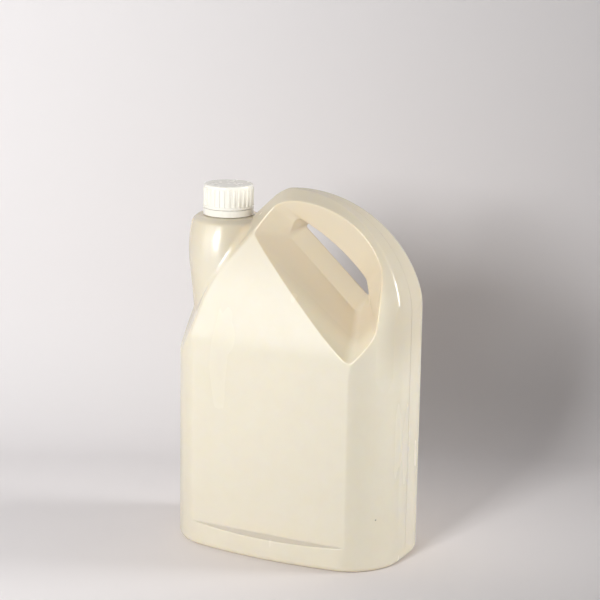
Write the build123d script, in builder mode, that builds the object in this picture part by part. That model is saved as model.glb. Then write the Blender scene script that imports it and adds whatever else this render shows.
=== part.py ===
"""Five-litre blow-moulded plastic jerrycan with an offset neck, a moulded-in
handle and a ribbed screw cap with a tamper band.

Frame: X runs along the width, with the neck at -X and the handle at +X.
Y runs along the depth, with the label panels facing -Y and +Y and the mould's
parting plane at Y = 0.  Z is up and the base rests on Z = 0.
"""

from build123d import *

import os
from math import cos, radians, tan

os.makedirs("parts", exist_ok=True)


# Body in plan: bowed faces that meet in large round corners.
body_width = 206.0
body_depth = 128.0
body_height = 309.0
face_bow = 13.0
side_bow = 3.0
end_flat = 17.5
wall = 1.0
recess_wall = 1.5

# Flat label panels, which end above a base band and lean back above a soft bend.
panel_step = 7.5
base_band_height = 17.5
panel_ledge_rise = 4.0
bend_drop = 125.5
lean_angle = 18.0
bend_radius = 110.0
side_overrun = 5.0

# Base: a rounded heel round a raised centre.
heel_radius = 5.0
push_up = 3.0
foot_width = 14.0

# Arch: the outline over the handle and down to the neck side.
arch_overhang = 4.0
arch_crest_x = -2.0
shoulder_radius = 82.0
brow_x = -20.5
brow_round = 0.4
diagonal_angle = 43.0
flank_radius = 115.0

# Slanted band along both edges of the arch, as a cone whose foot splays outwards.
band_angle = 30.0
band_depth = 9.3
band_drop = 4.6
band_shift = 14.0
crest_round = 5.0
crest_angle = 25.0
crest_drop = 118.0
splay_angle_neck_side = 24.0
splay_drop_neck_side = 103.0
splay_angle_grip_side = 5.0
splay_drop_grip_side = 144.0
band_overrun = 3.0

# Round shoulder that rises out of the left end and carries the neck.
neck_setback = 32.5
platform_drop = 28.5
platform_radius = 29.5
platform_round = 3.5
shoulder_fall = 19.0
shoulder_radius_x = 32.3
shoulder_radius_y = 36.5
waist_drop = 80.5
waist_radius_x = 34.0
waist_side_inset = 25.0
waist_pull = 2.5
root_drop = 144.0
root_inset = 1.5
root_radius_x = 40.0
root_side_inset = 14.0
meeting_round = 6.0
meeting_angle = 15.0
edge_margin = 1.0

# Closure: cap, sealing wad, tamper band and the neck finish that they fit.
cap_plate = 1.6
cap_radius = 20.9
cap_wall = 1.1
cap_edge_radius = 1.6
cap_height = 20.0
collar_height = 2.2
collar_step = 0.8
rib_count = 30
rib_depth = 0.55
rib_width = 1.4
rib_plain_top = 3.4
liner_thickness = 1.2
liner_clearance = 0.3
thread_clearance = 1.6
neck_wall = 2.2
tamper_seat = 0.5
tamper_gap = 0.4
tamper_height = 5.6
tamper_wall = 1.2
tamper_lip = 1.2
tamper_lip_slope = 0.5
tamper_lip_height = 1.4
retainer_height = 1.5
retainer_chamfer = 0.7
running_clearance = 0.35

# Hand hole and the recess round it, as loops that narrow towards the parting plane.
# Each loop has how far it lies from the parting plane, then its corners from the low
# end round to the handle side and a point on its arched side, each as the distance
# inboard of the grip side and the drop below the crest, and the corners' radii.
recess_margin = 2.0
rim_round = 1.0
hand_loops = (
    (body_depth / 2 - recess_margin,
     [(29, 135), (188, 25), (201, -53), (-21, -4), (2, 117)], (63, -115), [9, 20, 20, 26, 26]),
    (31.0,
     [(37, 115), (139, 36), (148, -9), (11, 49), (20.5, 99)], (58, -27), [6, 10, 10, 26, 12]),
    (10.5,
     [(44.5, 98), (110, 39), (103, 22), (37, 68), (33, 89.5)], (64, 43.5), [6, 6, 6, 12, 3]),
    (0.0,
     [(40, 83.5), (99, 31), (94, 27), (40, 67), (36, 80.5)], (65.5, 44.5), [2, 2, 2.5, 8, 1.5]),
)

# Values worked out from the ones above.
half_width = body_width / 2
half_depth = body_depth / 2
band_slope = tan(radians(band_angle))
band_reach = half_depth + band_overrun
arch_radius = half_width + arch_overhang
arch_centre_z = body_height - arch_radius
brow_radius = band_reach * band_slope + brow_round
bend_height = body_height - bend_drop
splay_floor = -band_overrun
neck_x = neck_setback - half_width
platform_height = body_height - platform_drop
tamper_bottom = platform_height + tamper_seat
tamper_top = tamper_bottom + tamper_height
cap_bottom = tamper_top + tamper_gap
cap_top = cap_bottom + cap_height
cap_ceiling = cap_top - cap_plate
neck_top = cap_ceiling - liner_thickness
cap_bore_radius = cap_radius - cap_wall
neck_radius = cap_bore_radius - thread_clearance
neck_bore_radius = neck_radius - neck_wall
tamper_radius = cap_radius + collar_step
tamper_bore_radius = tamper_radius - tamper_wall
retainer_radius = tamper_bore_radius - running_clearance
retainer_bottom = tamper_bottom + tamper_lip_height + running_clearance


def plan_sketch(inset, height):
    """Bowed rectangle with filleted corners, drawn `inset` inside the real plan."""
    half_x = half_width - inset
    half_y = half_depth - inset
    corner_x = half_x - side_bow
    corner_y = half_y - face_bow
    with BuildSketch(Plane.XY.offset(height)) as plan:
        with BuildLine():
            ThreePointArc((-corner_x, -corner_y), (0, -half_y), (corner_x, -corner_y))
            ThreePointArc((corner_x, -corner_y), (half_x, 0), (corner_x, corner_y))
            ThreePointArc((corner_x, corner_y), (0, half_y), (-corner_x, corner_y))
            ThreePointArc((-corner_x, corner_y), (-half_x, 0), (-corner_x, -corner_y))
        make_face()
        fillet(plan.vertices(), half_depth - end_flat - inset)
    return plan.sketch


def arch_sketch(plane, grow, shift=0.0, drop=0.0, splayed=False):
    """Arch outline on an XZ plane: grown, moved to +X and down, with a splayed foot."""
    right = shift + half_width + grow
    left = shift - half_width - grow
    radius = arch_radius + grow
    centre_x = arch_crest_x + shift
    centre_z = arch_centre_z - drop
    top = centre_z + radius
    shoulder = (right, centre_z + (radius**2 - (right - centre_x) ** 2) ** 0.5)
    middle_x = (right + centre_x) / 2
    middle = (middle_x, centre_z + (radius**2 - (middle_x - centre_x) ** 2) ** 0.5)
    slope = tan(radians(diagonal_angle))
    brow = (brow_x + shift - grow * tan(radians(diagonal_angle / 2)), top)
    neck_splay = tan(radians(splay_angle_neck_side)) if splayed else 0.0
    grip_splay = tan(radians(splay_angle_grip_side)) if splayed else 0.0
    neck_turn_z = body_height - splay_drop_neck_side
    grip_turn_z = body_height - splay_drop_grip_side
    flank_run = brow[0] - left + neck_turn_z * neck_splay
    flank_z = (top - flank_run * slope) / (1 - neck_splay * slope)
    flank = (left - (neck_turn_z - flank_z) * neck_splay, flank_z)
    neck_foot = (left - (neck_turn_z - splay_floor) * neck_splay, splay_floor)
    grip_foot = (right + (grip_turn_z - splay_floor) * grip_splay, splay_floor)
    grip_turn = (right, grip_turn_z)
    with BuildSketch(plane) as arch:
        with BuildLine():
            Polyline(brow, flank, neck_foot, grip_foot, grip_turn, shoulder)
            ThreePointArc(shoulder, middle, (centre_x, top))
            Line((centre_x, top), brow)
        make_face()
        rounds = ((brow, brow_radius), (flank, flank_radius), (shoulder, shoulder_radius))
        for corner, size in rounds:
            vertex = arch.vertices().sort_by_distance(Vector(corner[0], corner[1], 0))[0]
            fillet(vertex, size + grow)
    return arch.sketch


def side_sketch(inset):
    """Depth profile on the YZ plane: base band, ledge, upright panel, leaning top."""
    half_panel = half_depth - panel_step - inset
    half_base = half_depth + side_overrun
    top = body_height + side_overrun
    lean = (top - bend_height) * tan(radians(lean_angle))
    ledge_foot = base_band_height - inset * tan(radians(lean_angle))
    half = [
        (half_base, -side_overrun),
        (half_base, ledge_foot),
        (half_panel, ledge_foot + panel_ledge_rise),
        (half_panel, bend_height),
        (half_panel - lean, top),
    ]
    other = [(-y, z) for y, z in reversed(half)]
    with BuildSketch(Plane.YZ) as side:
        with BuildLine():
            Polyline(*half, *other, close=True)
        make_face()
        for y in (half_panel, -half_panel):
            bend = side.vertices().sort_by_distance(Vector(y, bend_height, 0))[0]
            fillet(bend, bend_radius)
    return side.sketch


def hand_sketch(loop, side, inset):
    """One loop of the hand hole, moved out and inwards round the cavity by its wall."""
    depth, corners, arch_point, radii = loop
    places = [Vector(half_width - inboard, body_height - drop, 0)
              for inboard, drop in (*corners, arch_point)]
    tail, heel, crown, shoulder, toe, arch_middle = places
    with BuildSketch(Plane.XZ.offset(side * max(depth - inset, 0))) as outline:
        with BuildLine():
            Polyline(shoulder, toe, tail, heel, crown)
            ThreePointArc(crown, arch_middle, shoulder)
        make_face()
        for corner, size in zip(places, radii):
            fillet(outline.vertices().sort_by_distance(corner)[0], size)
        if inset > 0:
            offset(amount=recess_wall, kind=Kind.TANGENT)
    return outline.sketch


def hand_cutter(inset):
    """Space of the hand hole and its recess, widening from the parting to each face."""
    with BuildPart() as cutter:
        for side in (1, -1):
            loft([hand_sketch(loop, side, inset) for loop in hand_loops], ruled=True)
    return cutter.part


def arch_band(inset):
    """Two cones, back to back at the parting plane, that cut the slanted bands."""
    grow = band_depth * band_slope - inset / cos(radians(band_angle))
    with BuildPart() as band:
        for side in (1, -1):
            rings = [
                arch_sketch(Plane.XZ.offset(side * depth), grow - depth * band_slope,
                            band_shift * band_slope, band_drop * band_slope, splayed=True)
                for depth in (0, band_reach)
            ]
            loft(rings, ruled=True)
    return band.part


def neck_shoulder(inset):
    """Round shoulder that grows out of the left end up to the neck platform."""
    levels = (
        (body_height - root_drop, root_inset + root_radius_x - half_width,
         root_radius_x, half_depth - root_side_inset),
        (body_height - waist_drop, waist_pull + waist_radius_x - half_width,
         waist_radius_x, half_depth - waist_side_inset),
        (platform_height - shoulder_fall, neck_x, shoulder_radius_x, shoulder_radius_y),
        (platform_height - inset, neck_x, platform_radius, platform_radius),
    )
    with BuildPart() as shoulder:
        rings = []
        for height, centre, radius_x, radius_y in levels:
            with BuildSketch(Plane((centre, 0, height))) as ring:
                Ellipse(radius_x - inset, radius_y - inset)
            rings.append(ring.sketch)
        loft(rings)
        chamfer(shoulder.faces().sort_by(Axis.Z)[-1].edges(), platform_round - inset)
    return shoulder.part


def sharp_edges(form, least_angle):
    """Edges of a form whose two faces meet at more than an angle."""
    faces_at = {}
    for face in form.faces():
        for edge in face.edges():
            faces_at.setdefault(edge, []).append(face)
    sharp = []
    for edge, faces in faces_at.items():
        middle = edge.position_at(0.5)
        normals = [face.normal_at(middle) for face in faces]
        if len(normals) == 2 and normals[0].get_angle(normals[1]) > least_angle:
            sharp.append(edge)
    return ShapeList(sharp)


def moulded_form(inset):
    """Outer form of the bottle, or with `inset` the cavity one wall inside it."""
    band = arch_band(inset)
    shoulder = neck_shoulder(inset)
    hand = hand_cutter(inset)
    with BuildPart() as form:
        extrude(plan_sketch(inset, inset), amount=body_height)
        heel = form.faces().sort_by(Axis.Z)[0].edges()
        if inset > 0:
            chamfer(heel, heel_radius - 2 * inset)
        else:
            fillet(heel, heel_radius)
        extrude(arch_sketch(Plane.XZ, -inset), amount=body_depth, both=True, mode=Mode.INTERSECT)
        extrude(side_sketch(inset), amount=body_width, both=True, mode=Mode.INTERSECT)
        add(band, mode=Mode.INTERSECT)
        crests = sharp_edges(form.part, crest_angle).filter_by(
            lambda edge: edge.center().Z > body_height - crest_drop)
        fillet(crests, crest_round - inset)
        add(shoulder)
        if inset == 0:
            meeting = sharp_edges(form.part, meeting_angle).filter_by(
                lambda edge: edge.center().X < brow_x
                and body_height - root_drop < edge.center().Z - edge_margin
                < platform_height - platform_round)
            fillet(meeting, meeting_round)
        add(hand, mode=Mode.SUBTRACT)
        if inset == 0:
            rim = sharp_edges(form.part, meeting_angle).filter_by(
                lambda edge: abs(edge.center().Y) < edge_margin and edge.center().X > 0
                and edge.center().Z > body_height - root_drop)
            fillet(rim, rim_round)
        foot = [plan_sketch(foot_width - inset + rise, inset + rise) for rise in (0, push_up)]
        loft(foot, ruled=True, mode=Mode.SUBTRACT)
    return form.part


outer_form = moulded_form(0)
cavity = moulded_form(wall)

# Bottle: one blown piece with an open neck and a retaining flange for the band.
with BuildPart() as bottle:
    add(outer_form)
    add(cavity, mode=Mode.SUBTRACT)
    with BuildSketch(Plane((neck_x, 0, platform_height - wall))) as neck_foot:
        Circle(neck_radius)
    extrude(amount=neck_top - platform_height + wall)
    with BuildSketch(Plane.XZ.shift_origin((neck_x, 0, 0))) as flange:
        with BuildLine():
            Polyline(
                (neck_bore_radius, retainer_bottom),
                (retainer_radius, retainer_bottom),
                (retainer_radius, retainer_bottom + retainer_height - retainer_chamfer),
                (retainer_radius - retainer_chamfer, retainer_bottom + retainer_height),
                (neck_bore_radius, retainer_bottom + retainer_height),
                close=True,
            )
        make_face()
    revolve(axis=Axis((neck_x, 0, 0), (0, 0, 1)))
    with BuildSketch(Plane((neck_x, 0, neck_top))) as bore:
        Circle(neck_bore_radius)
    extrude(amount=platform_height - platform_round - neck_top, mode=Mode.SUBTRACT)
bottle.part.label = "bottle"

# Tamper band: left on the neck, its lip caught below the flange.
with BuildPart() as tamper_band:
    with BuildSketch(Plane.XZ.shift_origin((neck_x, 0, 0))) as section:
        with BuildLine():
            Polyline(
                (tamper_radius, tamper_bottom),
                (tamper_radius, tamper_top),
                (tamper_bore_radius, tamper_top),
                (tamper_bore_radius, tamper_bottom + tamper_lip_height),
                (tamper_bore_radius - tamper_lip, tamper_bottom + tamper_lip_height),
                (tamper_bore_radius - tamper_lip + tamper_lip_slope, tamper_bottom),
                close=True,
            )
        make_face()
    revolve(axis=Axis((neck_x, 0, 0), (0, 0, 1)))
tamper_band.part.label = "tamper_band"

# Cap: a thin cup with a ribbed skirt over a plain collar.
with BuildPart() as cap:
    with BuildSketch(Plane((neck_x, 0, cap_bottom))) as skirt:
        Circle(cap_radius)
    extrude(amount=cap_height)
    fillet(cap.faces().sort_by(Axis.Z)[-1].edges(), cap_edge_radius)
    with BuildSketch(Plane((neck_x, 0, cap_bottom))) as collar:
        Circle(cap_radius + collar_step)
    extrude(amount=collar_height)
    with BuildSketch(Plane((neck_x, 0, cap_bottom + collar_height))) as ribs:
        with PolarLocations(cap_radius, rib_count):
            Rectangle(2 * rib_depth, rib_width)
    extrude(amount=cap_height - collar_height - rib_plain_top)
    with BuildSketch(Plane((neck_x, 0, cap_bottom))) as hollow:
        Circle(cap_bore_radius)
    extrude(amount=cap_height - cap_plate, mode=Mode.SUBTRACT)
cap.part.label = "cap"

# Sealing wad: a disc held in the top of the cap against the rim of the neck.
with BuildPart() as liner:
    with BuildSketch(Plane((neck_x, 0, neck_top))) as disc:
        Circle(cap_bore_radius - liner_clearance)
    extrude(amount=liner_thickness)
liner.part.label = "liner"

for piece in (bottle, tamper_band, cap, liner):
    export_step(piece.part, f"parts/{piece.part.label}.step")
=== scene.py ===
"""A five-litre blow-moulded jerrycan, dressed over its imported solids.

The can, its cap, the tamper band and the sealing wad come from the frame and keep
their shapes.  This script gives them their finishes, and adds the small shapes that
moulding leaves: the screw threads on the neck and in the cap, the parting seam, the
pinched weld under the base and the gate mark on the cap.
"""

import bmesh
import bpy
import numpy as np
from mathutils import Matrix, Vector


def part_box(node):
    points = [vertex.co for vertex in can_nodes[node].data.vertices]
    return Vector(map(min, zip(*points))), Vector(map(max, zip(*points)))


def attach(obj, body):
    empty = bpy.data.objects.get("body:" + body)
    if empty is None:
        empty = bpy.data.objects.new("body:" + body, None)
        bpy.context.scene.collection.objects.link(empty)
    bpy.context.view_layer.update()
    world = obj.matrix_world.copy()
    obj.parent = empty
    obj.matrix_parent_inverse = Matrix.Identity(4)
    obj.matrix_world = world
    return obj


# %% [markdown]
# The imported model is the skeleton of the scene.  Every solid arrives in metres with
# its place in its own mesh, so the can stands on z = 0 with the mould's parting plane
# at y = 0.  The neck's axis and rim are read from the solids' boxes.  The two radii
# that the threads stand on are the ones the solids were drawn with.

# %% Load the frame and measure it
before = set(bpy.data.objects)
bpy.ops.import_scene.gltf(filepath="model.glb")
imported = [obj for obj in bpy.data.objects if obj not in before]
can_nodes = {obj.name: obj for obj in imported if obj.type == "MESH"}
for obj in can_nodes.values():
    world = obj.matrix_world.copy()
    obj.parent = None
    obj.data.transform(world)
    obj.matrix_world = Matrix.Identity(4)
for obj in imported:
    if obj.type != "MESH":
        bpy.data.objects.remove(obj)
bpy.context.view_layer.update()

cap_low, cap_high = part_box("cap")
band_low, band_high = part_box("tamper_band")
wad_low, wad_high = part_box("liner")
neck_axis = np.array([(cap_low.x + cap_high.x) / 2, (cap_low.y + cap_high.y) / 2, 0.0])

MM = 0.001
NECK_RADIUS = 18.2 * MM
CAP_BORE_RADIUS = 19.8 * MM
NECK_TOP = wad_low.z


def in_mm(*lengths, places=1):
    """Lengths in metres as rounded millimetres, to print."""
    return [round(length / MM, places) for length in lengths]


print("neck axis at x =", *in_mm(neck_axis[0], places=2), "mm; rim at z =", *in_mm(NECK_TOP))
print("heights of the cap, band and wad, mm:",
      in_mm(cap_high.z - cap_low.z, band_high.z - band_low.z, wad_high.z - wad_low.z))

# %% [markdown]
# Most of the added shapes are long thin ridges: a thread, a seam, a weld.  Each is one
# surface: a small closed profile is carried along a path, and its size fades to nothing
# at both ends.  The whole grid of points comes out of one array sum, which is quicker
# and more exact than moving vertices about one at a time.

# %% Helpers: a grid becomes a mesh, and a profile is carried along a path
RIDGE_JOIN = 1e-7
TURNED_JOIN = 1e-6
LEAST_FADE = 1e-3


def smooth_mesh(name, points, faces):
    """A smooth-shaded mesh from an (n, 3) array of points and an (m, 4) array of corners."""
    mesh = bpy.data.meshes.new(name)
    mesh.from_pydata(points.tolist(), [], faces.tolist())
    mesh.validate()
    mesh.update()
    mesh.polygons.foreach_set("use_smooth", np.ones(len(mesh.polygons), bool))
    return mesh


def in_scene(name, data):
    """An object made from a mesh, a lamp or a camera, linked to the scene."""
    obj = bpy.data.objects.new(name, data)
    bpy.context.scene.collection.objects.link(obj)
    return obj


def mesh_piece(name, points, faces, body, join_distance, close_ends):
    """A visible piece that rides a body; near points join, and its ends close or stay open."""
    piece = in_scene(name, smooth_mesh(name, points, faces))
    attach(piece, body)
    work = bmesh.new()
    work.from_mesh(piece.data)
    bmesh.ops.remove_doubles(work, verts=work.verts, dist=join_distance)
    if close_ends:
        bmesh.ops.holes_fill(work, edges=work.edges, sides=0)
    bmesh.ops.recalc_face_normals(work, faces=work.faces)
    work.to_mesh(piece.data)
    work.free()
    return piece


def tube_faces(steps, sides):
    """Corners of a tube's quads: ring i joins ring i + 1, and each ring is closed."""
    ring, side = np.meshgrid(np.arange(steps - 1), np.arange(sides), indexing="ij")
    after = (side + 1) % sides
    corners = (ring * sides + side, ring * sides + after,
               (ring + 1) * sides + after, (ring + 1) * sides + side)
    return np.stack(corners, axis=-1).reshape(-1, 4)


def tangents(path):
    """The unit direction of a path at each of its points."""
    along = np.gradient(path, axis=0)
    return along / np.linalg.norm(along, axis=1)[:, None]


def carried_ridge(name, path, outward, profile, fade, body):
    """A ridge along a path.

    With tangent T and outward direction N at a path point P, and side S = T x N, the
    surface is P + fade * (a * S + b * N) for each profile point (a, b).
    """
    side = np.cross(tangents(path), outward)
    a, b = profile[:, 0], profile[:, 1]
    size = fade[:, None, None]
    grid = path[:, None] + size * (a[:, None] * side[:, None] + b[:, None] * outward[:, None])
    return mesh_piece(name, grid.reshape(-1, 3), tube_faces(*grid.shape[:2]), body,
                      RIDGE_JOIN, close_ends=True)


def end_fade(steps, share):
    """1 along a ridge, falling as a quarter sine to almost nothing over each end's share."""
    along = np.linspace(0, 1, steps)
    nearest_end = np.minimum(along, 1 - along)
    return np.maximum(np.sin(np.clip(nearest_end / share, 0, 1) * np.pi / 2), LEAST_FADE)


# %% [markdown]
# The screw thread is what the cap turns on.  A moulded bottle thread is coarse and
# rounded: a ridge about a millimetre high that climbs 4.2 mm in a turn.  A helix says it
# in one formula, and the cap's own thread is the same helix half a pitch lower and
# facing inwards, so the two stay in mesh while the cap turns and rises.

# %% Threads on the neck and in the cap
THREAD_PITCH = 4.2 * MM
THREAD_HEIGHT = 1.05 * MM
THREAD_FOOT = 2.3 * MM
THREAD_CREST = 1.0 * MM
THREAD_ROOT = 0.15 * MM
FLANK_WIDTH_SHARE = 0.34
FLANK_HEIGHT_SHARE = 0.45
CREST_EDGE_SHARE = 0.92
THREAD_STEPS_PER_TURN = 96
THREADS_START_BELOW_RIM = 13.6 * MM
NECK_THREAD_ENDS_BELOW_RIM = 2.6 * MM
CAP_THREAD_ENDS_BELOW_RIM = 5.2 * MM
NECK_THREAD_FADE = 0.06
CAP_THREAD_FADE = 0.08

# A rounded trapezoid: across the ridge, and how far it stands out of the wall.
thread_across = np.array([
    -0.5 * THREAD_FOOT, -0.5 * THREAD_FOOT, -FLANK_WIDTH_SHARE * THREAD_FOOT,
    -0.5 * THREAD_CREST, 0.0, 0.5 * THREAD_CREST,
    FLANK_WIDTH_SHARE * THREAD_FOOT, 0.5 * THREAD_FOOT, 0.5 * THREAD_FOOT])
thread_out = np.array([
    -THREAD_ROOT, 0.0, FLANK_HEIGHT_SHARE * THREAD_HEIGHT,
    CREST_EDGE_SHARE * THREAD_HEIGHT, THREAD_HEIGHT, CREST_EDGE_SHARE * THREAD_HEIGHT,
    FLANK_HEIGHT_SHARE * THREAD_HEIGHT, 0.0, -THREAD_ROOT])
thread_profile = np.stack([thread_across, thread_out], axis=1)


def helix(radius, low, high, facing):
    """Points (r cos t, r sin t, low + pitch * t / 2 pi) about the neck, the way that the
    ridge faces at each, and the number of turns."""
    turns = (high - low) / THREAD_PITCH
    turn = np.linspace(0, 2 * np.pi * turns, int(THREAD_STEPS_PER_TURN * turns))
    round_axis = np.stack([np.cos(turn), np.sin(turn), np.zeros_like(turn)], axis=1)
    path = neck_axis + radius * round_axis
    path[:, 2] = low + THREAD_PITCH * turn / (2 * np.pi)
    return path, facing * round_axis, turns


threads_start = NECK_TOP - THREADS_START_BELOW_RIM
neck_path, neck_out, neck_turns = helix(
    NECK_RADIUS, threads_start, NECK_TOP - NECK_THREAD_ENDS_BELOW_RIM, 1)
neck_thread = carried_ridge("neck_thread", neck_path, neck_out, thread_profile,
                            end_fade(len(neck_path), NECK_THREAD_FADE),
                            "can")

cap_path, cap_out, cap_turns = helix(
    CAP_BORE_RADIUS, threads_start, NECK_TOP - CAP_THREAD_ENDS_BELOW_RIM, -1)
cap_path[:, 2] -= THREAD_PITCH / 2
cap_thread = carried_ridge("cap_thread", cap_path, cap_out, thread_profile,
                           end_fade(len(cap_path), CAP_THREAD_FADE),
                           "cap")
print("thread turns on the neck:", round(neck_turns, 2), "and in the cap:", round(cap_turns, 2))

# %% [markdown]
# The body is blown in a mould of two halves, and a fine seam is left where they meet:
# round most of the outline, apart from the neck and the base, and round the hand hole.
# All of it lies in the plane y = 0, so the seam can be read off the solid itself.  Its
# triangles are cut by that plane, and from a point inside the outline the furthest cut
# in each direction is the outer wall, while from a point inside the hole the nearest is
# the hole's rim.

# %% Cut the can's mesh by the parting plane
# The cut is a hair off y = 0, because the solid has vertices on the plane itself.
SECTION_OFFSET = 0.03 * MM
LEAST_CROSS = 1e-15
SHARE_SLACK = 1e-6
# A ray that misses a segment gets a distance, in metres, that is never the one sought.
MISS_WHEN_FURTHEST, MISS_WHEN_NEAREST = -1.0, 9.0


def plane_section(obj, offset):
    """Segments where a mesh crosses the plane y = offset, as an (n, 2, 2) array of x and z."""
    mesh = obj.data
    mesh.calc_loop_triangles()
    points = np.zeros(len(mesh.vertices) * 3)
    mesh.vertices.foreach_get("co", points)
    points = points.reshape(-1, 3)
    corners = np.zeros(len(mesh.loop_triangles) * 3, np.int32)
    mesh.loop_triangles.foreach_get("vertices", corners)
    triangles = points[corners.reshape(-1, 3)]
    above = triangles[:, :, 1] > offset
    crossing = above.any(axis=1) & ~above.all(axis=1)
    triangles, above = triangles[crossing], above[crossing]
    lone_side = above.sum(axis=1) == 1
    lone = np.argmax(above == lone_side[:, None], axis=1)
    row = np.arange(len(triangles))
    tip = triangles[row, lone]
    ends = []
    for step in (1, 2):
        other = triangles[row, (lone + step) % 3]
        share = (offset - tip[:, 1]) / (other[:, 1] - tip[:, 1])
        ends.append((tip + share[:, None] * (other - tip))[:, [0, 2]])
    return np.stack(ends, axis=1)


def seen_from(centre, angles, segments, furthest):
    """Where rays from a centre meet the segments: the furthest or nearest point on each ray."""
    ray = np.stack([np.cos(angles), np.sin(angles)], axis=1)[:, None]
    start = segments[:, 0] - centre
    run = segments[:, 1] - segments[:, 0]
    cross = ray[..., 0] * run[:, 1] - ray[..., 1] * run[:, 0]
    cross = np.where(np.abs(cross) < LEAST_CROSS, LEAST_CROSS, cross)
    distance = (start[:, 0] * run[:, 1] - start[:, 1] * run[:, 0]) / cross
    share = (start[:, 0] * ray[..., 1] - start[:, 1] * ray[..., 0]) / cross
    hit = (share >= -SHARE_SLACK) & (share <= 1 + SHARE_SLACK) & (distance > 0)
    distance = np.where(hit, distance, MISS_WHEN_FURTHEST if furthest else MISS_WHEN_NEAREST)
    reach = distance.max(axis=1) if furthest else distance.min(axis=1)
    return centre + reach[:, None] * ray[:, 0]


section = plane_section(can_nodes["bottle"], SECTION_OFFSET)
print("parting section:", len(section), "segments")

# %% Lay the seam along the outline and the hand hole
SEAM_WIDTH = 0.55 * MM
SEAM_HEIGHT = 0.16 * MM
SEAM_ROOT = 0.2 * MM
SEAM_ROUND_POINTS = 7
SEAM_FADE = 0.01
OUTLINE_CENTRE = (0.0, 0.150)
HOLE_CENTRE = (0.038, 0.256)

seam_turn = np.linspace(0, np.pi, SEAM_ROUND_POINTS)
seam_profile = np.concatenate([
    np.stack([-0.5 * SEAM_WIDTH * np.cos(seam_turn), SEAM_HEIGHT * np.sin(seam_turn)], axis=1),
    [[0.5 * SEAM_WIDTH, -SEAM_ROOT], [-0.5 * SEAM_WIDTH, -SEAM_ROOT]],
])


def seam(name, centre, from_deg, to_deg, rays, furthest):
    """Casts rays over an arc about a centre and carries the seam's profile along their hits."""
    angles = np.radians(np.linspace(from_deg, to_deg, rays))
    flat = seen_from(np.array(centre), angles, section, furthest)
    level = np.zeros(rays)
    path = np.stack([flat[:, 0], level, flat[:, 1]], axis=1)
    tangent = tangents(path)
    outward = np.stack([tangent[:, 2], level, -tangent[:, 0]], axis=1)
    if not furthest:
        outward = -outward
    piece = carried_ridge(name, path, outward, seam_profile, end_fade(rays, SEAM_FADE),
                          "can")
    print(name, "runs", round(np.linalg.norm(np.diff(path, axis=0), axis=1).sum() / MM), "mm")
    return piece


# Angles in degrees from +X towards +Z.  The gaps between the arcs are the neck and the base.
grip_side = seam("grip_side_seam", OUTLINE_CENTRE, -54, 107, rays=700, furthest=True)
neck_side = seam("neck_side_seam", OUTLINE_CENTRE, 130, 234, rays=400, furthest=True)
hole_seam = seam("hand_hole_seam", HOLE_CENTRE, 0, 359.5, rays=500, furthest=False)

# %% [markdown]
# The parison, the soft tube that is blown, is pinched shut by the mould at the bottom.
# That leaves a weld: a low bar with a scar along it, across the raised middle of the
# base.  It is a ridge like the others, only wider and flatter.

# %% The pinched weld under the base
WELD_HALF_LENGTH = 58 * MM
BASE_RISE = 3.0 * MM
WELD_STEPS = 240
WELD_FADE = 0.03
weld_x = np.linspace(-WELD_HALF_LENGTH, WELD_HALF_LENGTH, WELD_STEPS)
weld_path = np.stack([weld_x, np.zeros_like(weld_x), np.full_like(weld_x, BASE_RISE)], axis=1)
weld_down = np.tile([0.0, 0.0, -1.0], (WELD_STEPS, 1))
# The profile runs over the weld from edge to edge, then back just inside the base.
weld_across = np.array([-2.4, -1.6, -0.8, -0.45, 0.0, 0.45, 0.8, 1.6, 2.4, 2.4, -2.4]) * MM
weld_out = np.array([0.0, 0.35, 0.55, 1.0, 1.15, 1.0, 0.55, 0.35, 0.0, -0.3, -0.3]) * MM
base_weld = carried_ridge("base_weld", weld_path, weld_down,
                          np.stack([weld_across, weld_out], axis=1),
                          end_fade(WELD_STEPS, WELD_FADE), "can")

# %% [markdown]
# The cap is injection moulded.  In the middle of its top is a small gate mark, where the
# plastic came in.  It is a turned shape, so it is a profile of radius and height spun
# about the neck's axis.

# %% The gate mark on the cap's top
GATE_SIDES = 48
# From the mark's outer edge, over its ring and its pip, down the axis and back out below.
gate_radii = np.array([2.6, 2.4, 2.0, 1.5, 1.2, 0.7, 0.4, 0.0, 0.0, 2.4]) * MM
gate_rises = np.array([-0.1, 0.08, 0.15, 0.1, 0.02, 0.04, 0.28, 0.3, -0.1, -0.1]) * MM


def turned(name, radii, heights, sides, body):
    """Surface of revolution (r cos t, r sin t, z) about the neck, for each profile point."""
    turn = np.linspace(0, 2 * np.pi, sides, endpoint=False)
    x = neck_axis[0] + radii[:, None] * np.cos(turn)
    y = neck_axis[1] + radii[:, None] * np.sin(turn)
    z = np.broadcast_to(heights[:, None], x.shape)
    points = np.stack([x, y, z], axis=-1).reshape(-1, 3)
    return mesh_piece(name, points, tube_faces(len(radii), sides), body,
                      TURNED_JOIN, close_ends=False)


gate_mark = turned("cap_gate_mark", gate_radii, cap_high.z + gate_rises, GATE_SIDES,
                   "cap")
print("cap top at z =", *in_mm(cap_high.z, places=2), "mm")

# %% [markdown]
# Moulded plastic is never quite even.  Two things change over its surface at scales the
# eye reads at once: slow ripples a few centimetres long, where the wall cooled unevenly,
# and a fine satin grain from the mould.  One node group makes both as heights, so that
# the body and the cap can share it with their own amounts.

# %% Node group: moulded skin
def new_group(name, inputs, outputs):
    """A shader node group with float inputs {name: default} and float outputs."""
    group = bpy.data.node_groups.new(name, "ShaderNodeTree")
    for label, value in inputs.items():
        made = group.interface.new_socket(label, in_out="INPUT", socket_type="NodeSocketFloat")
        made.default_value = value
    for label in outputs:
        group.interface.new_socket(label, in_out="OUTPUT", socket_type="NodeSocketFloat")
    given = group.nodes.new("NodeGroupInput").outputs
    results = group.nodes.new("NodeGroupOutput")
    return group, given, results


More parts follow.
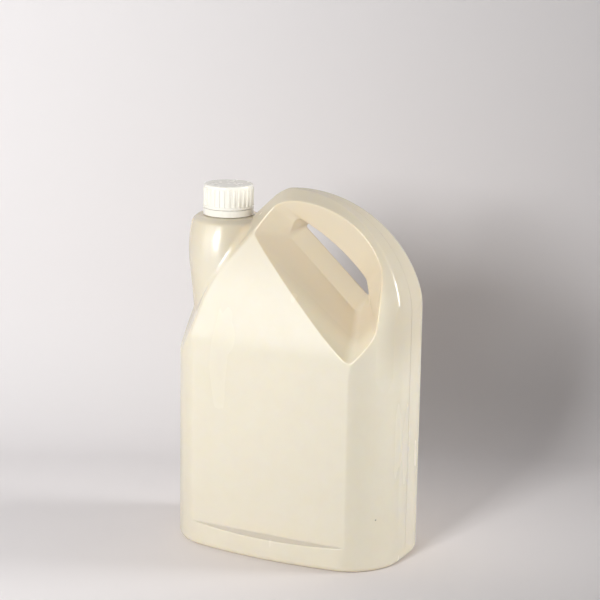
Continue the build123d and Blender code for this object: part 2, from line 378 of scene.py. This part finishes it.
def feed(tree, node, inputs):
    """Fills a node's inputs with links from sockets, or with values."""
    for key, value in inputs.items():
        if isinstance(value, bpy.types.NodeSocket):
            tree.links.new(value, node.inputs[key])
        else:
            node.inputs[key].default_value = value


def add(tree, kind, inputs=None, **settings):
    """Adds a node, sets its properties and feeds its inputs."""
    node = tree.nodes.new(kind)
    for key, value in settings.items():
        setattr(node, key, value)
    feed(tree, node, inputs or {})
    return node


def maths(tree, operation, first, second=0.0):
    """A Math node's result."""
    return add(tree, "ShaderNodeMath", {0: first, 1: second}, operation=operation).outputs[0]


def own_place(tree):
    """The shaded point's place on its own piece."""
    return add(tree, "ShaderNodeTexCoord").outputs["Object"]


def noise(tree, place, scale, detail, roughness):
    """A Noise Texture's grey value."""
    node = add(tree, "ShaderNodeTexNoise",
               {"Vector": place, "Scale": scale, "Detail": detail, "Roughness": roughness})
    return node.outputs["Fac"]


def ramp(tree, value, start=(0.0, 1.0), end=(0.0, 1.0), shape="LINEAR"):
    """A value mapped from one range to another, and held at its ends."""
    node = add(tree, "ShaderNodeMapRange",
               {"Value": value, "From Min": start[0], "From Max": start[1],
                "To Min": end[0], "To Max": end[1]}, interpolation_type=shape)
    return node.outputs["Result"]


moulded_skin, given, results = new_group(
    "moulded_skin",
    {"Ripple": 0.2, "Grain": 0.05, "Ripple scale": 22.0, "Grain scale": 1400.0},
    ("Height", "Mottle"))
place = own_place(moulded_skin)
ripple = noise(moulded_skin, place, given["Ripple scale"], detail=1.5, roughness=0.4)
grain = noise(moulded_skin, place, given["Grain scale"], detail=2.0, roughness=0.6)
skin_height = maths(moulded_skin, "ADD",
                    maths(moulded_skin, "MULTIPLY", ripple, given["Ripple"]),
                    maths(moulded_skin, "MULTIPLY", grain, given["Grain"]))
mottle = noise(moulded_skin, place, 55.0, detail=5.0, roughness=0.6)
feed(moulded_skin, results, {"Height": skin_height, "Mottle": mottle})
print("node group moulded_skin:", len(moulded_skin.nodes), "nodes")

# %% [markdown]
# A used can carries a few specks of dirt and some faint rubs.  The specks are the tips of
# a cell pattern, and only the few cells whose random colour is near its top show theirs.
# The rubs are noise stretched into long streaks.  The group puts out two masks, and each
# material decides how strongly they show.

# %% Node group: handling marks
SPECK_CHANCE_OVER = 0.992
RUB_STRETCH = (1.0, 1.0, 0.16)
handling_marks, given, results = new_group(
    "handling_marks",
    {"Speck scale": 160.0, "Speck size": 0.12, "Rub scale": 30.0},
    ("Specks", "Rubs"))
place = own_place(handling_marks)
cells = add(handling_marks, "ShaderNodeTexVoronoi",
            {"Vector": place, "Scale": given["Speck scale"]}).outputs
tips = maths(handling_marks, "LESS_THAN", cells["Distance"], given["Speck size"])
chance = add(handling_marks, "ShaderNodeSeparateColor", {"Color": cells["Color"]}).outputs["Red"]
few = maths(handling_marks, "GREATER_THAN", chance, SPECK_CHANCE_OVER)
stretched = add(handling_marks, "ShaderNodeMapping",
                {"Vector": place, "Scale": RUB_STRETCH}).outputs[0]
streaks = noise(handling_marks, stretched, given["Rub scale"], detail=2.5, roughness=0.5)
feed(handling_marks, results, {"Specks": maths(handling_marks, "MULTIPLY", tips, few),
                               "Rubs": ramp(handling_marks, streaks, start=(0.55, 0.75))})
print("node group handling_marks:", len(handling_marks.nodes), "nodes")

# %% [markdown]
# The body is natural polyethylene: no pigment, so it is milky, and light spreads inside
# the wall and comes out warmer.  Subsurface scattering does that.  Its surface has a soft
# sheen where the wall turns towards the light, so it is a little rougher than a mirror
# gloss.  The handle, its recess and the shoulder are painted deeper and yellower, as
# painted shade; those places all lie near the parting plane and high up, so two soft
# steps find them.

# %% Material: natural polyethylene
IVORY = (0.935, 0.795, 0.600, 1.0)
IVORY_DEEP = (0.915, 0.765, 0.560, 1.0)
# The next colour is painted shade for the handle, its recess and the shoulder.
IVORY_PAINTED_SHADE = (0.745, 0.620, 0.458, 1.0)
SPECK_BROWN = (0.480, 0.400, 0.290, 1.0)
SHADE_NEAR_PLANE = (46 * MM, 26 * MM)
SHADE_HIGH_UP = (150 * MM, 205 * MM)
SKIN_DEPTH = 0.001
BOTTLE_EDGE_RADIUS = 1.8 * MM


def principled(name):
    """A new node material, with its tree and its shader."""
    material = bpy.data.materials.new(name)
    material.use_nodes = True
    return material, material.node_tree, material.node_tree.nodes["Principled BSDF"]


def grouped(tree, group, **values):
    """A node group's outputs, for its own values, whose names have underscores for spaces."""
    inputs = {key.replace("_", " "): value for key, value in values.items()}
    return add(tree, "ShaderNodeGroup", inputs, node_tree=group).outputs


def mixed(tree, share, first, second):
    """A colour between two: the share is a socket, the colours are sockets or values."""
    node = add(tree, "ShaderNodeMix", {0: share, 6: first, 7: second}, data_type="RGBA")
    return node.outputs[2]


def painted_shade_places(tree):
    """Where the painted shade goes: 1 near the parting plane and high up, 0 elsewhere."""
    axes = add(tree, "ShaderNodeSeparateXYZ", {0: own_place(tree)}).outputs
    nearness = ramp(tree, maths(tree, "ABSOLUTE", axes["Y"]), SHADE_NEAR_PLANE, shape="SMOOTHSTEP")
    height = ramp(tree, axes["Z"], SHADE_HIGH_UP, shape="SMOOTHSTEP")
    return maths(tree, "MULTIPLY", nearness, height)


def milky_plastic(name, edge_radius):
    """Natural polyethylene whose edges are softened over a radius, or kept if it is 0."""
    material, tree, shader = principled(name)
    skin = grouped(tree, moulded_skin, Ripple=0.35, Grain=0.035, Ripple_scale=20.0,
                   Grain_scale=1300.0)
    marks = grouped(tree, handling_marks)
    colour = mixed(tree, ramp(tree, skin["Mottle"], start=(0.2, 0.8)), IVORY_DEEP, IVORY)
    # Painted shade: the handle, its recess and the shoulder turn darker and yellower.
    colour = mixed(tree, painted_shade_places(tree), colour, IVORY_PAINTED_SHADE)
    colour = mixed(tree, marks["Specks"], colour, SPECK_BROWN)
    bump = add(tree, "ShaderNodeBump",
               {"Height": skin["Height"], "Distance": SKIN_DEPTH, "Strength": 0.6})
    if edge_radius > 0:
        soft_edges = add(tree, "ShaderNodeBevel", {"Radius": edge_radius}, samples=8)
        feed(tree, bump, {"Normal": soft_edges.outputs[0]})
    feed(tree, shader, {
        "Base Color": colour,
        "Roughness": ramp(tree, marks["Rubs"], end=(0.24, 0.30)),
        "Normal": bump.outputs["Normal"],
        "IOR": 1.50,
        "Subsurface Weight": 0.5,
        "Subsurface Radius": (1.0, 0.75, 0.4),
        "Subsurface Scale": 0.006,
    })
    print(name, "has", len(tree.nodes), "nodes")
    return material


polyethylene = milky_plastic("natural_polyethylene", BOTTLE_EDGE_RADIUS)
thin_polyethylene = milky_plastic("natural_polyethylene_thin", 0)

# %% [markdown]
# The cap and the band left on the neck are a whiter, denser plastic.  Very little light
# gets into it, so it needs only a trace of scattering, and its ripples are far weaker
# than the blown body's because it was pressed against polished steel.  The wad inside
# the cap is a pale foam with fine pores, whose pits are painted darker as painted shade.

# %% Materials: cap and sealing wad
CAP_WHITE = (0.870, 0.850, 0.770, 1.0)
CAP_SHADE = (0.845, 0.820, 0.735, 1.0)
WAD_WHITE = (0.88, 0.88, 0.86, 1.0)
WAD_SHADE = (0.78, 0.78, 0.76, 1.0)
PORE_DEPTH = 0.0002

polypropylene, tree, shader = principled("cap_polypropylene")
skin = grouped(tree, moulded_skin, Ripple=0.03, Grain=0.012, Ripple_scale=90.0,
               Grain_scale=2600.0)
marks = grouped(tree, handling_marks, Speck_scale=400.0, Rub_scale=120.0)
colour = mixed(tree, skin["Mottle"], CAP_SHADE, CAP_WHITE)
bump = add(tree, "ShaderNodeBump",
           {"Height": skin["Height"], "Distance": SKIN_DEPTH, "Strength": 0.4})
feed(tree, shader, {
    "Base Color": mixed(tree, marks["Specks"], colour, SPECK_BROWN),
    "Roughness": ramp(tree, marks["Rubs"], end=(0.24, 0.38)),
    "Normal": bump.outputs["Normal"],
    "IOR": 1.49,
    "Subsurface Weight": 0.15,
    "Subsurface Radius": (1.0, 0.9, 0.7),
    "Subsurface Scale": 0.002,
})

foam, tree, shader = principled("foam_wad")
pores = add(tree, "ShaderNodeTexVoronoi",
            {"Vector": own_place(tree), "Scale": 2200.0}).outputs["Distance"]
bump = add(tree, "ShaderNodeBump", {"Height": pores, "Distance": PORE_DEPTH, "Strength": 0.5})
feed(tree, shader, {
    # The pits of the pores are painted darker with WAD_SHADE: painted shade in the pores.
    "Base Color": mixed(tree, pores, WAD_SHADE, WAD_WHITE),
    "Roughness": 0.85,
    "Normal": bump.outputs["Normal"],
})
print("cap and wad materials made")

# %% Give every piece its material
def dress(obj, material):
    """Puts one material on a piece, in place of what it has."""
    obj.data.materials.clear()
    obj.data.materials.append(material)


dress(can_nodes["bottle"], polyethylene)
for piece in (neck_thread, grip_side, neck_side, hole_seam, base_weld):
    dress(piece, thin_polyethylene)
for piece in (can_nodes["cap"], can_nodes["tamper_band"], cap_thread, gate_mark):
    dress(piece, polypropylene)
dress(can_nodes["liner"], foam)

# %% [markdown]
# The can stands on a pale sheet that runs back and curves up into a wall close behind
# it, as a roll of studio paper does.  The sheet is one profile, floor then quarter
# circle then wall, stretched sideways.  It is laid out as the camera sees it and then
# turned into place.  Its back is clear to the camera alone, so the can is also seen from
# behind and from below.

# %% Paper sweep
SWEEP_FRONT = -1.9
SWEEP_BACK = 0.35
SWEEP_RADIUS = 0.13
SWEEP_TOP = 2.2
SWEEP_HALF_WIDTH = 2.6
SWEEP_BEND_POINTS = 24
PAPER_GREY = (0.765, 0.742, 0.742, 1.0)
VIEW_TURN = np.radians(26.836)
view_axes = np.array([[np.cos(VIEW_TURN), -np.sin(VIEW_TURN), 0],
                      [np.sin(VIEW_TURN), np.cos(VIEW_TURN), 0], [0, 0, 1]])

bend = np.linspace(-np.pi / 2, 0, SWEEP_BEND_POINTS)
bend_y = SWEEP_BACK - SWEEP_RADIUS + SWEEP_RADIUS * np.cos(bend)
bend_z = SWEEP_RADIUS + SWEEP_RADIUS * np.sin(bend)
sweep_y = np.concatenate([[SWEEP_FRONT], bend_y, [SWEEP_BACK]])
sweep_z = np.concatenate([[0.0], bend_z, [SWEEP_TOP]])
grid_x, grid_y = np.meshgrid([-SWEEP_HALF_WIDTH, SWEEP_HALF_WIDTH], sweep_y, indexing="ij")
grid_z = np.broadcast_to(sweep_z, grid_x.shape)
sweep_points = np.stack([grid_x, grid_y, grid_z], axis=-1) @ view_axes.T
count = len(sweep_y)
first = np.arange(count - 1)
sweep_faces = np.stack([first, first + count, first + count + 1, first + 1], axis=1)
paper_sweep = in_scene("paper_sweep",
                       smooth_mesh("paper_sweep", sweep_points.reshape(-1, 3), sweep_faces))

paper, tree, shader = principled("paper")
camera_ray = add(tree, "ShaderNodeLightPath").outputs["Is Camera Ray"]
back_side = add(tree, "ShaderNodeNewGeometry").outputs["Backfacing"]
clear = add(tree, "ShaderNodeBsdfTransparent").outputs[0]
see_through = add(tree, "ShaderNodeMixShader",
                  {0: maths(tree, "MULTIPLY", camera_ray, back_side),
                   1: shader.outputs[0], 2: clear})
feed(tree, shader, {"Base Color": PAPER_GREY, "Roughness": 0.8})
feed(tree, tree.nodes["Material Output"], {"Surface": see_through.outputs[0]})
dress(paper_sweep, paper)

# %% [markdown]
# A soft lamp at the left and in front gives the main light and the shadow to the right.
# A weak one at the right fills the dark side, in a narrow cone that keeps it off most of
# the wall.  A wide one at the left is seen in reflections only, for the sheen on the
# plastic, and the world adds a little light from all round.

# %% Lamps and world
WORLD_TINT = (0.97, 0.97, 1.0, 1.0)
WORLD_STRENGTH = 0.17


def soft_lamp(name, place, aim, size, power, spread_deg=180.0):
    """A square area lamp at a place, turned to face a point, with its light in a cone."""
    light = bpy.data.lights.new(name, "AREA")
    light.size = size
    light.energy = power
    light.spread = np.radians(spread_deg)
    lamp = in_scene(name, light)
    lamp.location = place
    lamp.rotation_euler = (Vector(aim) - Vector(place)).to_track_quat("-Z", "Y").to_euler()
    return lamp


def from_view(right, away, up):
    """A place given as seen from the camera: to its right, away from it, and up."""
    return tuple(view_axes @ np.array([right, away, up]))


soft_lamp("key_lamp", from_view(-0.52, -0.97, 0.61), from_view(-0.75, 0.35, 0.80),
          size=0.34, power=16.8)
soft_lamp("fill_lamp", from_view(1.15, -0.02, 0.45), (0, 0, 0.19),
          size=0.40, power=0.78, spread_deg=38.0)
sheen_lamp = soft_lamp("sheen_lamp", from_view(-1.15, -0.82, 0.70), (0, 0, 0.22),
                       size=0.95, power=9.0)
sheen_lamp.visible_diffuse = False
world = bpy.data.worlds.new("studio_world")
world.use_nodes = True
bpy.context.scene.world = world
feed(world.node_tree, world.node_tree.nodes["Background"],
     {"Color": WORLD_TINT, "Strength": WORLD_STRENGTH})
bpy.context.scene.view_settings.view_transform = "Standard"

# %% [markdown]
# The camera stands where the photograph's did: to the right of the front and a little
# above, far enough away for the can's edges to stay nearly parallel.  Its place, its aim
# and its small roll were found by fitting the can's outline.

# %% Camera
CAMERA_PLACE = Vector((0.72371, -1.43045, 0.58776))
CAMERA_AIM = Vector((-0.00922, 0.01699, 0.20873))
CAMERA_ROLL = np.radians(0.95)
SENSOR_WIDTH_MM = 36.0
LENS_MM = 116.6
camera_data = bpy.data.cameras.new("studio_camera")
camera_data.sensor_width = SENSOR_WIDTH_MM
camera_data.lens = LENS_MM
studio_camera = in_scene("studio_camera", camera_data)
look = (CAMERA_AIM - CAMERA_PLACE).to_track_quat("-Z", "Y").to_matrix().to_4x4()
studio_camera.matrix_world = (Matrix.Translation(CAMERA_PLACE) @ look
                              @ Matrix.Rotation(CAMERA_ROLL, 4, "Z"))
bpy.context.scene.camera = studio_camera
print("camera stands", round((CAMERA_PLACE - CAMERA_AIM).length, 3), "m from its aim")

# %% Finish
bpy.context.view_layer.update()
